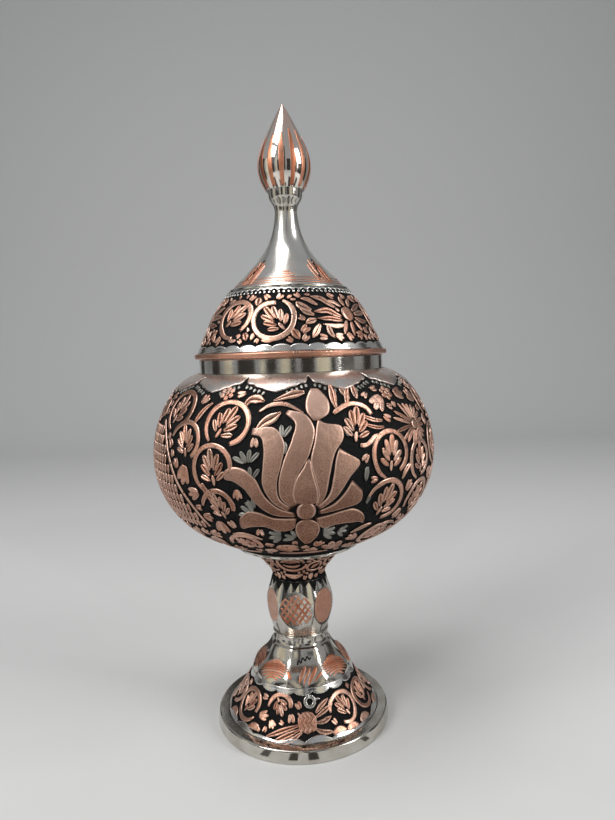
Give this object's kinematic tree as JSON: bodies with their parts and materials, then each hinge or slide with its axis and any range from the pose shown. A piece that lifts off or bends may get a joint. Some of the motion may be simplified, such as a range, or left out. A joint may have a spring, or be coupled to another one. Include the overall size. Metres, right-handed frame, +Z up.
{
  "type": "lidded candy dish",
  "caption": "Round-bellied chased copper candy dish on a turned stem and flared foot, with a lift-off domed lid, tall spire and pointed bud finial.",
  "frame": {"origin": "centre of the foot's resting face, on the dish's axis", "axes": "+Z up along the dish's axis, -Y towards the front with the lotus"},
  "size_m": [0.1356, 0.1356, 0.3],
  "materials": {
    "chased_copper": "chased relief, burnished on a blackened ground",
    "polished_copper": "polished",
    "bright_tin": "polished tinned copper",
    "plain_steel": "zinc-plated"
  },
  "bodies": {
    "dish": {"foot_rim": "bright_tin", "foot_skirt": "chased_copper", "foot_trumpet": "bright_tin", "waist_bead": "bright_tin", "stem_knop": "bright_tin", "stem_cup": "chased_copper", "bowl_seam_ring": "bright_tin", "bowl_shell": "chased_copper", "mouth_collar": "bright_tin", "stem_bolt": "plain_steel", "bowl_washer": "plain_steel", "foot_washer": "plain_steel", "stem_nut": "plain_steel"},
    "lid": {"lid_locator": "bright_tin", "lid_rim": "polished_copper", "lid_dome": "chased_copper", "spire_lip": "bright_tin", "lid_spire": "bright_tin", "neck_plug": "bright_tin", "finial_cup": "bright_tin", "finial_bud": "polished_copper", "finial_stud": "plain_steel"}
  },
  "joints": [
    {"name": "lid_lift", "type": "slide", "parent": "dish", "child": "lid", "axis": [0, 0, 1], "range_m": [0, 0.08]}
  ]
}
